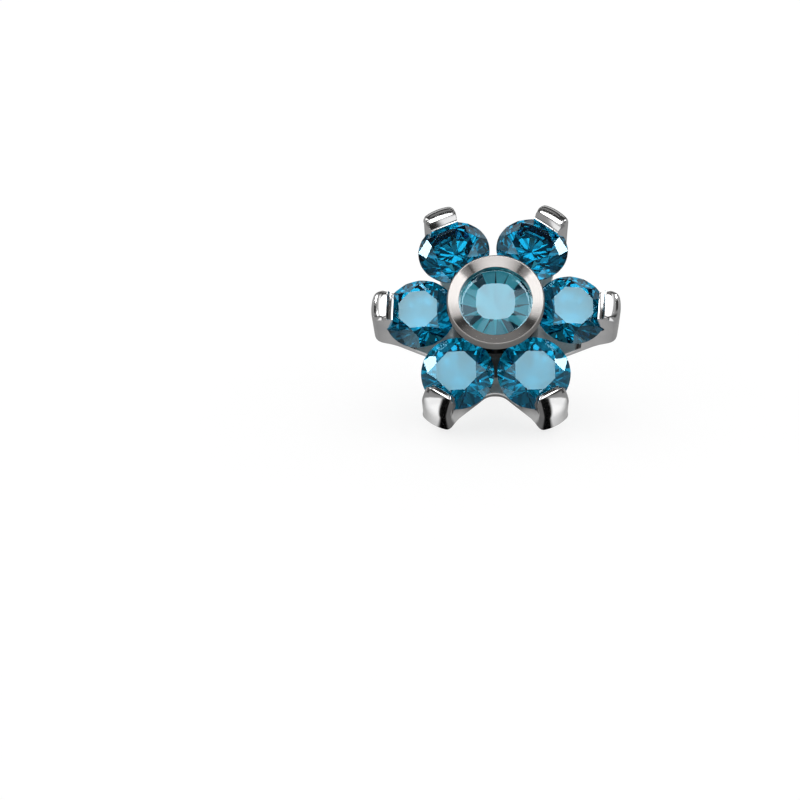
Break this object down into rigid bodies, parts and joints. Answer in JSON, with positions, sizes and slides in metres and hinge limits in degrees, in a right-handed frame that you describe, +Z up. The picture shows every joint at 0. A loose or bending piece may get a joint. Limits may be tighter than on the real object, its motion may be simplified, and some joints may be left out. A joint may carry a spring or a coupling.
{
  "type": "dermal anchor top",
  "caption": "Flower-shaped screw-in top of a dermal anchor: petal stones in a claw basket round a stone in a turned cup, on a plain pin.",
  "frame": {"origin": "on the floor under the middle of the part's bounding box, as it lies by itself on its two lower claws and the tip of its pin", "axes": "+Z up; the flower's face looks to -Y and up at 38 degrees above the floor; +X along the line of the two side petals"},
  "size_m": [0.0068, 0.006, 0.0058],
  "materials": {
    "polished_steel": "mirror polished surgical steel",
    "turned_steel": "fine turned steel, satin",
    "centre_stone": "pale teal cut stone, foil bright from behind",
    "petal_stone": "deep teal blue cut stone, polished facets"
  },
  "bodies": {
    "root": {"claw_basket": "polished_steel", "centre_cup": "turned_steel", "post": "polished_steel", "centre_stone": "centre_stone", "petal_stone_1": "petal_stone", "petal_stone_2": "petal_stone", "petal_stone_3": "petal_stone", "petal_stone_4": "petal_stone", "petal_stone_5": "petal_stone", "petal_stone_6": "petal_stone"}
  },
  "joints": []
}
